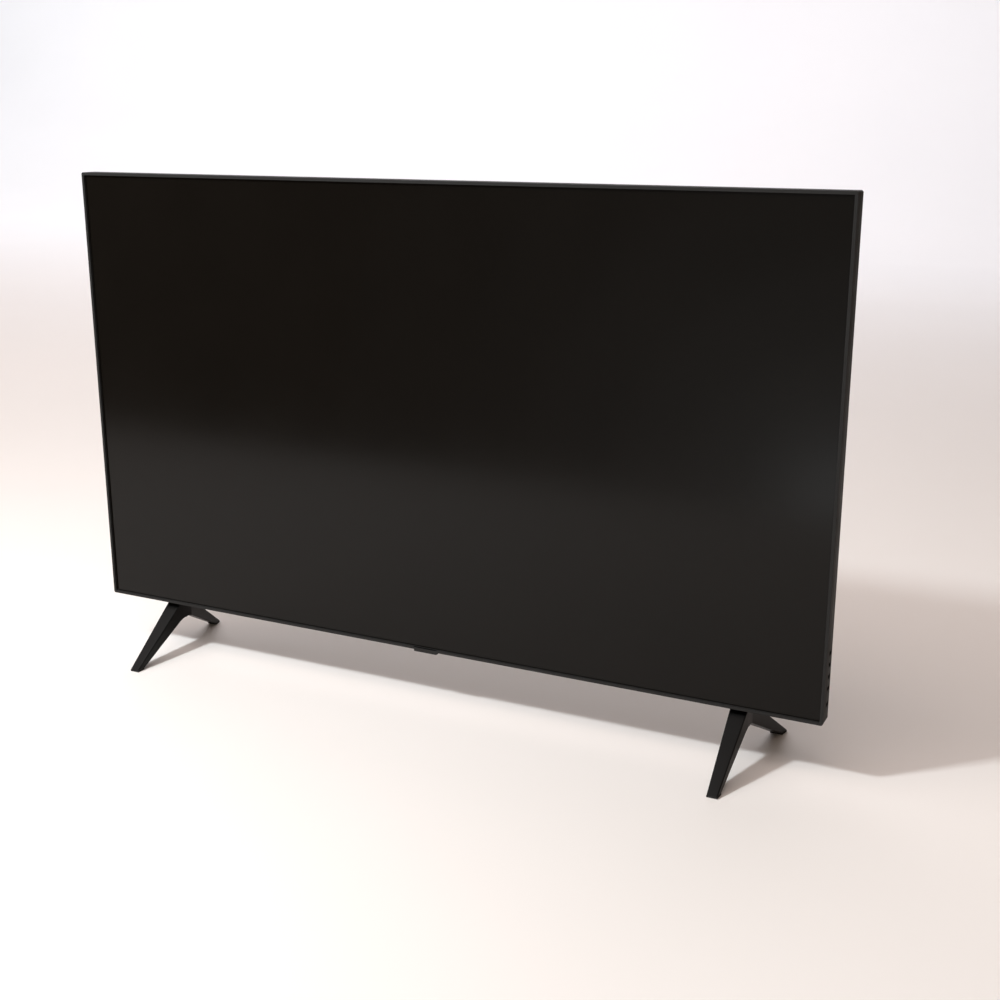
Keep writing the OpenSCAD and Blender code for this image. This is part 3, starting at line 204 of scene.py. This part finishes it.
class Finish:
    """One material's nodes, on object coordinates"""

    def __init__(self, name):
        self.material = bpy.data.materials.new(name)
        self.material.use_nodes = True
        self.tree = self.material.node_tree
        self.shader = self.tree.nodes["Principled BSDF"]
        self.place = self.add("TexCoord").outputs["Object"]

    def add(self, kind, feeds=None, **settings):
        """A shader node with its settings, and with values or links on its inputs"""
        node = self.tree.nodes.new("ShaderNode" + kind)
        for key, value in settings.items():
            setattr(node, key, value)
        for key, value in (feeds or {}).items():
            self.feed(node.inputs[key], value)
        return node

    def feed(self, socket, value):
        """Links another node's output to an input, or sets its plain value"""
        if isinstance(value, bpy.types.NodeSocket):
            self.tree.links.new(value, socket)
        else:
            socket.default_value = value

    def set(self, **values):
        """Inputs of the main shader, with _ in place of each space"""
        for key, value in values.items():
            self.feed(self.shader.inputs[key.replace("_", " ")], value)

    def stretched(self, along):
        """Object coordinates scaled along X, Y and Z"""
        return self.add("Mapping", {"Vector": self.place, "Scale": along}).outputs["Vector"]

    def noise(self, size, detail, place=None):
        """Cloudy pattern with features about size metres wide"""
        feeds = {"Vector": place or self.place, "Scale": 1.0 / size, "Detail": detail}
        return self.add("TexNoise", feeds).outputs["Fac"]

    def cells(self, size, output="Distance"):
        """Cell pattern with cells about size metres wide"""
        feeds = {"Vector": self.place, "Scale": 1.0 / size}
        return self.add("TexVoronoi", feeds).outputs[output]

    def spread(self, value, low, high, start=0.3, stop=0.7):
        """Maps start to low and stop to high, and holds those values outside"""
        feeds = {"Value": value, "From Min": start, "From Max": stop, "To Min": low, "To Max": high}
        return self.add("MapRange", feeds).outputs["Result"]

    def math(self, operation, first, second):
        """One operation on two values"""
        return self.add("Math", {0: first, 1: second}, operation=operation).outputs[0]

    def blend(self, factor, first, second):
        """Colour from first, where the factor is 0, to second, where it is 1"""
        feeds = {MIX_FACTOR: factor}
        for socket, value in ((MIX_FIRST, first), (MIX_SECOND, second)):
            feeds[socket] = value if isinstance(value, bpy.types.NodeSocket) else (*value, 1.0)
        return self.add("Mix", feeds, data_type="RGBA").outputs[MIX_COLOUR]

    def uneven(self, pattern, colour, dark, light):
        """The colour times dark to light, as the pattern goes"""
        return self.blend(self.spread(pattern, 0.0, 1.0), times(colour, dark), times(colour, light))

    def edges(self, radius):
        """1 along sharp edges, 0 on flats"""
        soft = self.add("Bevel", {"Radius": radius}, samples=4).outputs["Normal"]
        plain = self.add("NewGeometry").outputs["Normal"]
        same = self.add("VectorMath", {0: soft, 1: plain}, operation="DOT_PRODUCT").outputs["Value"]
        return self.spread(same, 1.0, 0.0, start=0.80, stop=0.995)

    def relief(self, height, depth, strength):
        """Bump of depth metres"""
        feeds = {"Height": height, "Distance": depth, "Strength": strength}
        return self.add("Bump", feeds).outputs["Normal"]


def moulded(name, colour, roughness, grain, depth, wear_and_highlight=0.5, gloss=0.22):
    """Moulded plastic: fine grain, uneven sheen, edges rubbed smoother and, in patches, lighter as wear and
    painted highlight
    """
    f = Finish(name)
    fine = f.noise(grain, detail=4.0)
    broad = f.noise(size=0.055, detail=5.0)
    patchy = f.noise(size=0.006, detail=3.0)
    # Patches along sharp edges where the colour is lighter: partly wear and partly a painted highlight
    patchy_wear_and_highlight = f.spread(patchy, 0.0, wear_and_highlight, start=0.35, stop=0.65)
    rubbed_and_highlit = f.math("MULTIPLY", f.edges(radius=0.0007), patchy_wear_and_highlight)
    body = f.uneven(broad, colour, dark=0.90, light=1.12)
    sheen = f.spread(broad, roughness - 0.05, roughness + 0.05)
    polish = f.math("MULTIPLY", rubbed_and_highlit, 0.12)
    # Base colour doubled on those edge patches: wear and painted highlight
    f.set(Base_Color=f.blend(rubbed_and_highlit, body, times(colour, 2.0)),
          Roughness=f.math("SUBTRACT", sheen, polish),
          Specular_IOR_Level=gloss,
          Normal=f.relief(fine, depth, strength=0.6))
    return f.material


def dark_screen(name, colour, roughness, reflection):
    """Switched off screen under an anti-glare film"""
    f = Finish(name)
    film = f.noise(size=0.0004, detail=2.0)
    haze = f.noise(size=0.12, detail=4.0)
    f.set(Base_Color=f.uneven(haze, colour, dark=0.92, light=1.08),
          Roughness=f.spread(haze, roughness - 0.012, roughness + 0.012),
          Specular_IOR_Level=reflection,
          Normal=f.relief(film, depth=0.000004, strength=0.25))
    return f.material


def soft_rubber(name, colour, grain):
    """Matt rubber or foam with open pores"""
    f = Finish(name)
    pores = f.cells(grain)
    dust = f.noise(size=0.012, detail=4.0)
    f.set(Base_Color=f.uneven(dust, colour, dark=0.85, light=1.5),
          Roughness=f.spread(dust, 0.78, 0.95),
          Normal=f.relief(pores, depth=grain * 0.2, strength=0.7))
    return f.material


def metal(name, colour, roughness, along, grain, spangle=0.0):
    """Rolled, drawn or plated metal, with grain along one direction and optional zinc spangle"""
    f = Finish(name)
    drawn = f.noise(grain, detail=3.0, place=f.stretched(along))
    smear = f.noise(size=0.02, detail=4.0)
    body = f.uneven(smear, colour, dark=0.88, light=1.06)
    sheen = f.spread(drawn, roughness - 0.06, roughness + 0.08)
    if spangle:
        flakes = f.cells(spangle, "Color")
        grey = f.add("SeparateColor", {"Color": flakes}).outputs["Red"]
        body = f.blend(f.spread(grey, 0.0, 0.5, start=0.0, stop=1.0), body, times(colour, 0.72))
        sheen = f.math("ADD", sheen, f.spread(grey, -0.05, 0.08, start=0.0, stop=1.0))
    f.set(Base_Color=body, Roughness=sheen, Metallic=1.0,
          Normal=f.relief(drawn, depth=0.00002, strength=0.4))
    return f.material


def circuit_board(name, colour):
    """Solder mask over copper tracks, with tinned pads"""
    f = Finish(name)
    pattern = {"Vector": f.place, "Scale": 60.0, "Mortar Size": 0.06}
    tracks = f.add("TexBrick", pattern, offset=0.37).outputs["Fac"]
    pads = f.spread(f.cells(size=0.004), 1.0, 0.0, start=0.18, stop=0.24)
    mask = f.uneven(f.noise(size=0.015, detail=4.0), colour, dark=0.85, light=1.15)
    traced = f.blend(tracks, mask, times(colour, 1.7))
    tin = (0.55, 0.55, 0.52)
    f.set(Base_Color=f.blend(pads, traced, tin),
          Roughness=f.spread(pads, 0.42, 0.28, start=0.0, stop=1.0),
          Normal=f.relief(tracks, depth=0.00004, strength=0.5))
    return f.material


def thin_sheet(name, colour, roughness, clear=0.0):
    """Optical film, acrylic, flat cable or wire insulation"""
    f = Finish(name)
    flow = f.noise(size=0.03, detail=4.0)
    dots = f.cells(size=0.0015)
    f.set(Base_Color=f.uneven(flow, colour, dark=0.93, light=1.04),
          Roughness=f.spread(flow, roughness - 0.05, roughness + 0.05),
          Transmission_Weight=clear,
          Normal=f.relief(dots, depth=0.00001, strength=0.3))
    return f.material


def pulp(name, colour):
    """Pressed paper pulp of a speaker cone"""
    f = Finish(name)
    fibres = f.noise(size=0.0008, detail=6.0, place=f.stretched((1.0, 1.0, 0.3)))
    f.set(Base_Color=f.uneven(fibres, colour, dark=0.7, light=1.6),
          Roughness=f.spread(fibres, 0.75, 0.95),
          Normal=f.relief(fibres, depth=0.0001, strength=0.6))
    return f.material


def paper(name, colour):
    """Pale matt paper of the floor and backdrop"""
    f = Finish(name)
    cloudy = f.noise(size=0.9, detail=3.0)
    f.set(Base_Color=f.uneven(cloudy, colour, dark=0.99, light=1.01),
          Roughness=f.spread(cloudy, 0.62, 0.70))
    return f.material


def start_clean():
    """Object mode with nothing selected"""
    if bpy.context.mode != "OBJECT":
        bpy.ops.object.mode_set(mode="OBJECT")
    bpy.ops.object.select_all(action="DESELECT")


def take(piece):
    """Selects one piece alone and makes it active"""
    start_clean()
    piece.select_set(True)
    bpy.context.view_layer.objects.active = piece


def dress(piece, material):
    """Gives a new piece its only material"""
    piece.data.materials.clear()
    piece.data.materials.append(material)


def finish_nodes(names, material):
    """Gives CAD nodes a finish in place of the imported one"""
    for name in names:
        for held in frame["nodes"][name].material_slots:
            held.material = material


def weigh_edges(piece, edge, long_edge, is_long):
    """Bevel weights: long_edge on the edges that is_long names, edge on every other sharp one"""
    bpy.ops.object.mode_set(mode="EDIT")
    bpy.ops.mesh.select_mode(type="EDGE")
    bpy.ops.mesh.select_all(action="DESELECT")
    bpy.ops.mesh.edges_select_sharp(sharpness=SHARP_ANGLE)
    bpy.ops.transform.edge_bevelweight(value=edge / long_edge)
    bpy.ops.object.mode_set(mode="OBJECT")
    for side in piece.data.edges:
        first, second = (piece.data.vertices[corner].co for corner in side.vertices)
        side.select = side.select and is_long(first, second)
    for others in (piece.data.vertices, piece.data.polygons):
        others.foreach_set("select", [False] * len(others))
    bpy.ops.object.mode_set(mode="EDIT")
    bpy.ops.transform.edge_bevelweight(value=1.0)
    bpy.ops.mesh.select_mode(type="VERT")
    bpy.ops.object.mode_set(mode="OBJECT")


def rounded_copy(node, name, material, edge, segments=2, long_edge=0.0, is_long=None):
    """A merged copy of a CAD node with its edges rounded, standing for that node"""
    piece = bpy.data.objects.new(name, frame["nodes"][node].data.copy())
    bpy.context.scene.collection.objects.link(piece)
    take(piece)
    bpy.ops.object.mode_set(mode="EDIT")
    bpy.ops.mesh.select_all(action="SELECT")
    bpy.ops.mesh.customdata_custom_splitnormals_clear()
    bpy.ops.mesh.remove_doubles(threshold=MERGE_DISTANCE)
    bpy.ops.mesh.dissolve_limited(angle_limit=FLAT_ANGLE)
    bpy.ops.object.mode_set(mode="OBJECT")
    if long_edge:
        weigh_edges(piece, edge, long_edge, is_long)
    bevel = piece.modifiers.new("Rounded edges", "BEVEL")
    bevel.width = long_edge or edge
    bevel.segments = segments
    bevel.limit_method = "WEIGHT" if long_edge else "ANGLE"
    bevel.angle_limit = SHARP_ANGLE
    bevel.use_clamp_overlap = False
    bpy.ops.object.modifier_apply(modifier=bevel.name)
    bpy.ops.object.shade_smooth_by_angle(angle=SMOOTH_ANGLE)
    flats = piece.modifiers.new("Flat faces stay flat", "WEIGHTED_NORMAL")
    flats.keep_sharp = True
    bpy.ops.object.modifier_apply(modifier=flats.name)
    dress(piece, material)
    body = node if node in frame["bodies"] else SET
    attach(piece, body)
    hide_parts(node)
    return piece


class TELEVISION_OT_front_frame(bpy.types.Operator):
    """Bezel, sensor housing and the smoked window of the sensor"""

    bl_idname = "television.front_frame"
    bl_label = "Front frame"

    def execute(self, context):
        finish = context.scene.television_finish
        satin = moulded("charcoal_satin", finish.frame_colour, finish.frame_roughness, grain=0.00045,
                        depth=0.00003)
        bezel = rounded_copy("front_bezel", "bezel_moulding", satin, finish.frame_edge)
        # Near black for the walls of the bezel's lip, a painted shade in the recess round the screen
        black = moulded("black_lip", DEEP_BLACK, roughness=0.85, grain=0.0006, depth=0.000004, wear_and_highlight=0.0,
                        gloss=0.0)
        self.paint_lip_shade(bezel, black)
        rounded_copy("sensor_housing", "sensor_shell", satin, finish.frame_edge)
        smoked = moulded("smoked_window", DEEP_BLACK, roughness=0.50, grain=0.0006, depth=0.000004, wear_and_highlight=0.0,
                         gloss=0.0)
        rounded_copy("sensor_window", "sensor_pane", smoked, finish.frame_edge / PANE_EDGE_DIVISOR)
        return {"FINISHED"}

    def paint_lip_shade(self, bezel, black):
        """Painted shade: near black on the walls that lead from the bezel's face in to the screen"""
        bezel.data.materials.append(black)
        lip_shade_slot = len(bezel.data.materials) - 1
        low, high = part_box("front_bezel")
        middle = (low + high) / 2.0
        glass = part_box("lcd_panel")[0].y
        for face in bezel.data.polygons:
            inward = face.normal.dot(middle - face.center) > 0.0
            if inward and abs(face.normal.y) < LIP_WALL_LIMIT and low.y < face.center.y < glass:
                face.material_index = lip_shade_slot


class TELEVISION_OT_screen(bpy.types.Operator):
    """Panel, the foam round it and the foam under the speakers"""

    bl_idname = "television.screen"
    bl_label = "Screen"

    def execute(self, context):
        finish = context.scene.television_finish
        finish_nodes(["lcd_panel"], dark_screen("dark_screen", finish.screen_colour, finish.screen_roughness,
                                                finish.screen_reflection))
        finish_nodes(["panel_gasket", "speaker_pads"],
                     soft_rubber("black_foam", (0.006, 0.006, 0.006), grain=0.0006))
        return {"FINISHED"}


class TELEVISION_OT_rear_cover(bpy.types.Operator):
    """Rear cover, all screws and the pieces of zinc plated steel"""

    bl_idname = "television.rear_cover"
    bl_label = "Rear cover"

    def execute(self, context):
        finish = context.scene.television_finish
        grained = moulded("grained_cover", finish.cover_colour, finish.cover_roughness, grain=0.0009,
                          depth=0.00009, gloss=0.14)
        slim_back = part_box("cover_screws")[1].y

        def on_housing(first, second):
            """Whether an edge is long and lies behind the slim part of the set"""
            return (first - second).length > LONG_EDGE and min(first.y, second.y) > slim_back

        rounded_copy("rear_cover", "cover_moulding", grained, finish.cover_edge, segments=3,
                     long_edge=finish.housing_edge, is_long=on_housing)
        finish_nodes(["cover_screws", "board_screws", "foot_screws"],
                     metal("black_screw", (0.09, 0.09, 0.095), roughness=0.34, along=EVEN_GRAIN,
                           grain=0.0008))
        finish_nodes(["wall_mount_posts", "backplate", "foot_brackets", "key_switches", "speaker_drivers"],
                     metal("zinc_steel", (0.56, 0.57, 0.58), roughness=0.36, along=(0.2, 1.0, 1.0),
                           grain=0.0015, spangle=0.006))
        return {"FINISHED"}


class TELEVISION_OT_feet(bpy.types.Operator):
    """The two feet and the pads under their legs"""

    bl_idname = "television.feet"
    bl_label = "Feet"

    def execute(self, context):
        finish = context.scene.television_finish
        satin = moulded("black_satin", finish.foot_colour, finish.foot_roughness, grain=0.0005,
                        depth=0.00003, gloss=0.13)
        for side in ("left", "right"):
            rounded_copy(side + "_foot", side + "_foot_moulding", satin, finish.foot_edge, segments=3)
        finish_nodes(["foot_pads"], soft_rubber("pad_rubber", (0.0091, 0.0087, 0.0081), grain=0.0009))
        return {"FINISHED"}


class TELEVISION_OT_keys(bpy.types.Operator):
    """Push keys on the right edge"""

    bl_idname = "television.keys"
    bl_label = "Side keys"

    def execute(self, context):
        finish = context.scene.television_finish
        matt = moulded("dark_key", finish.key_colour, roughness=0.85, grain=0.0005, depth=0.00002, wear_and_highlight=0.3,
                       gloss=0.0)
        for key in KEYS:
            rounded_copy(key, key + "_cap", matt, finish.key_edge)
        return {"FINISHED"}


class TELEVISION_OT_sockets(bpy.types.Operator):
    """Socket shells, pins and the inlet"""

    bl_idname = "television.sockets"
    bl_label = "Sockets"

    def execute(self, context):
        finish_nodes(["hdmi_sockets", "usb_sockets", "network_socket", "aerial_socket"],
                     metal("nickel_shell", (0.66, 0.65, 0.62), roughness=0.24, along=(0.15, 1.0, 1.0),
                           grain=0.0006))
        finish_nodes(["mains_pins"],
                     metal("plated_pin", (0.70, 0.66, 0.52), roughness=0.22, along=(0.2, 1.0, 1.0),
                           grain=0.0006))
        finish_nodes(["mains_inlet", "optical_socket"],
                     moulded("inlet_plastic", (0.010, 0.010, 0.010), roughness=0.45, grain=0.0006,
                             depth=0.00003))
        return {"FINISHED"}


class TELEVISION_OT_inside(bpy.types.Operator):
    """Boards, sheets, wiring and speakers behind the panel"""

    bl_idname = "television.inside"
    bl_label = "Inside"

    def execute(self, context):
        finish_nodes(["mid_frame", "key_bracket", "left_speaker_box", "right_speaker_box",
                      "main_board_parts", "power_board_parts"],
                     moulded("inner_plastic", (0.012, 0.012, 0.012), roughness=0.5, grain=0.0007,
                             depth=0.00004))
        finish_nodes(["main_board", "power_board", "timing_board", "source_boards", "wireless_module",
                      "sensor_board", "key_board", "led_strip"],
                     circuit_board("green_board", (0.015, 0.10, 0.04)))
        finish_nodes(["prism_sheet", "diffuser_sheet", "reflector_sheet"],
                     thin_sheet("milky_film", (0.80, 0.81, 0.82), roughness=0.45))
        finish_nodes(["light_guide"],
                     thin_sheet("clear_guide", (0.86, 0.92, 0.93), roughness=0.12, clear=0.7))
        finish_nodes(["backlight_leds"], thin_sheet("lamp_phosphor", (0.80, 0.70, 0.25), roughness=0.6))
        finish_nodes(["led_heat_bar", "main_heat_sink"],
                     metal("bare_aluminium", (0.72, 0.72, 0.73), roughness=0.34, along=(0.08, 1.0, 1.0),
                           grain=0.001))
        for node, name, colour in (("driver_films", "amber_film", (0.42, 0.19, 0.03)),
                                   ("video_ribbon", "ribbon_film", (0.70, 0.71, 0.74)),
                                   ("power_harness", "red_wire", (0.40, 0.02, 0.02)),
                                   ("backlight_harness", "yellow_wire", (0.60, 0.45, 0.04)),
                                   ("speaker_wires", "black_wire", (0.015, 0.015, 0.015)),
                                   ("control_wires", "white_wire", (0.70, 0.70, 0.69))):
            finish_nodes([node], thin_sheet(name, colour, roughness=0.42))
        finish_nodes(["left_speaker_cone", "right_speaker_cone"], pulp("cone_pulp", (0.03, 0.03, 0.03)))
        return {"FINISHED"}


def lamp(name, place, aim, power, size, colour):
    """Area lamp of a width and height, turned to what it aims at and not seen by the camera"""
    data = bpy.data.lights.new(name, "AREA")
    data.energy = power
    data.shape = "RECTANGLE"
    data.size, data.size_y = size
    data.color = colour
    held = bpy.data.objects.new(name, data)
    held.visible_camera = False
    held.location = place
    held.rotation_euler = (Vector(aim) - Vector(place)).to_track_quat("-Z", "Y").to_euler()
    bpy.context.scene.collection.objects.link(held)
    return held


class TELEVISION_OT_stage(bpy.types.Operator):
    """Floor with a swept backdrop, lamps and camera"""

    bl_idname = "television.stage"
    bl_label = "Stage"

    def execute(self, context):
        studio = context.scene.television_studio
        self.backdrop(studio)
        square = (studio.key_size, studio.key_size)
        lamp("key_lamp", KEY_LAMP_PLACE, KEY_LAMP_AIM, studio.key_power, square, KEY_LAMP_LIGHT)
        for name, place, aim, power, size, colour in WIDE_LAMPS:
            lamp(name, place, aim, getattr(studio, power), size, colour)
        self.soft_round_lamp(studio)
        self.room_light(context.scene, studio)
        self.camera(context.scene, studio)
        context.scene.view_settings.view_transform = "Standard"
        return {"FINISHED"}

    def soft_round_lamp(self, studio):
        """Discs one behind another, small before large, that show as a glow at the screen's right edge"""
        x, y, z = GLOW_PLACE
        for number, (radius, brightness) in enumerate(GLOW_DISCS, 1):
            power = studio.glow * brightness * math.pi * math.pi * radius ** 2
            place = (x, y + number * GLOW_STEP, z)
            size = (2.0 * radius, 2.0 * radius)
            disc = lamp("glow_disc_%d" % number, place, (x, 0.0, z), power, size, GLOW_LIGHT)
            disc.data.shape = "DISK"

    def room_light(self, scene, studio):
        """Even light from all round"""
        world = bpy.data.worlds.new("room")
        world.use_nodes = True
        world.node_tree.nodes["Background"].inputs["Color"].default_value = (*studio.world_colour, 1.0)
        scene.world = world

    def camera(self, scene, studio):
        """Camera at the photograph's viewing angle"""
        camera = bpy.data.cameras.new("photo_camera")
        camera.lens = studio.lens
        camera.sensor_width = SENSOR_WIDTH
        held = bpy.data.objects.new("photo_camera", camera)
        held.location = CAMERA_PLACE
        held.rotation_euler = (CAMERA_TILT, 0.0, CAMERA_TURN)
        scene.collection.objects.link(held)
        scene.camera = held

    def backdrop(self, studio):
        """A sheet of paper that lies flat and then sweeps up behind the television"""
        half_x = (FLOOR_RIGHT_X - FLOOR_LEFT_X) / 2.0
        half_y = (BACKDROP_Y - FLOOR_FRONT_Y) / 2.0
        middle_x = (FLOOR_RIGHT_X + FLOOR_LEFT_X) / 2.0
        middle_y = (BACKDROP_Y + FLOOR_FRONT_Y) / 2.0
        start_clean()
        bpy.ops.mesh.primitive_plane_add(size=2.0, location=(0.0, 0.0, 0.0))
        sheet = bpy.context.active_object
        sheet.name = "paper_sweep"
        bpy.ops.object.mode_set(mode="EDIT")
        bpy.ops.transform.resize(value=(half_x, half_y, 1.0))
        bpy.ops.transform.translate(value=(middle_x, middle_y, 0.0))
        bpy.ops.object.mode_set(mode="OBJECT")
        for corner in sheet.data.vertices:
            corner.select = corner.co.y > middle_y
        for flat in (*sheet.data.edges, *sheet.data.polygons):
            flat.select = all(sheet.data.vertices[corner].select for corner in flat.vertices)
        bpy.ops.object.mode_set(mode="EDIT")
        bpy.ops.mesh.extrude_edges_move(TRANSFORM_OT_translate={"value": (0.0, 0.0, BACKDROP_HEIGHT)})
        bpy.ops.mesh.select_all(action="SELECT")
        bpy.ops.mesh.normals_make_consistent(inside=False)
        bpy.ops.object.mode_set(mode="OBJECT")
        sweep = sheet.modifiers.new("Sweep", "BEVEL")
        sweep.width = SWEEP_WIDTH
        sweep.segments = SWEEP_SEGMENTS
        sweep.limit_method = "ANGLE"
        sweep.angle_limit = SHARP_ANGLE
        bpy.ops.object.modifier_apply(modifier=sweep.name)
        bpy.ops.object.shade_smooth()
        dress(sheet, paper("pale_paper", studio.floor_colour))


STEPS = (TELEVISION_OT_front_frame, TELEVISION_OT_screen, TELEVISION_OT_rear_cover, TELEVISION_OT_feet,
         TELEVISION_OT_keys, TELEVISION_OT_sockets, TELEVISION_OT_inside, TELEVISION_OT_stage)


class TELEVISION_PT_panel(bpy.types.Panel):
    """Lists the television's pieces, finishes and studio"""

    bl_idname = "TELEVISION_PT_panel"
    bl_label = "Television"
    bl_space_type = "VIEW_3D"
    bl_region_type = "UI"
    bl_category = "Television"

    def draw(self, context):
        for step in STEPS:
            self.layout.operator(step.bl_idname)
        for group in (context.scene.television_finish, context.scene.television_studio):
            column = self.layout.column(align=True)
            for name in group.__annotations__:
                column.prop(group, name)


CLASSES = (TelevisionFinish, TelevisionStudio, *STEPS, TELEVISION_PT_panel)


def register():
    for made in CLASSES:
        bpy.utils.register_class(made)
    bpy.types.Scene.television_finish = PointerProperty(type=TelevisionFinish)
    bpy.types.Scene.television_studio = PointerProperty(type=TelevisionStudio)


def unregister():
    del bpy.types.Scene.television_studio
    del bpy.types.Scene.television_finish
    for made in reversed(CLASSES):
        bpy.utils.unregister_class(made)


def main():
    register()
    bpy.ops.television.front_frame()
    bpy.ops.television.screen()
    bpy.ops.television.rear_cover()
    bpy.ops.television.feet()
    bpy.ops.television.keys()
    bpy.ops.television.sockets()
    bpy.ops.television.inside()
    bpy.ops.television.stage()


if __name__ == "__main__":
    main()
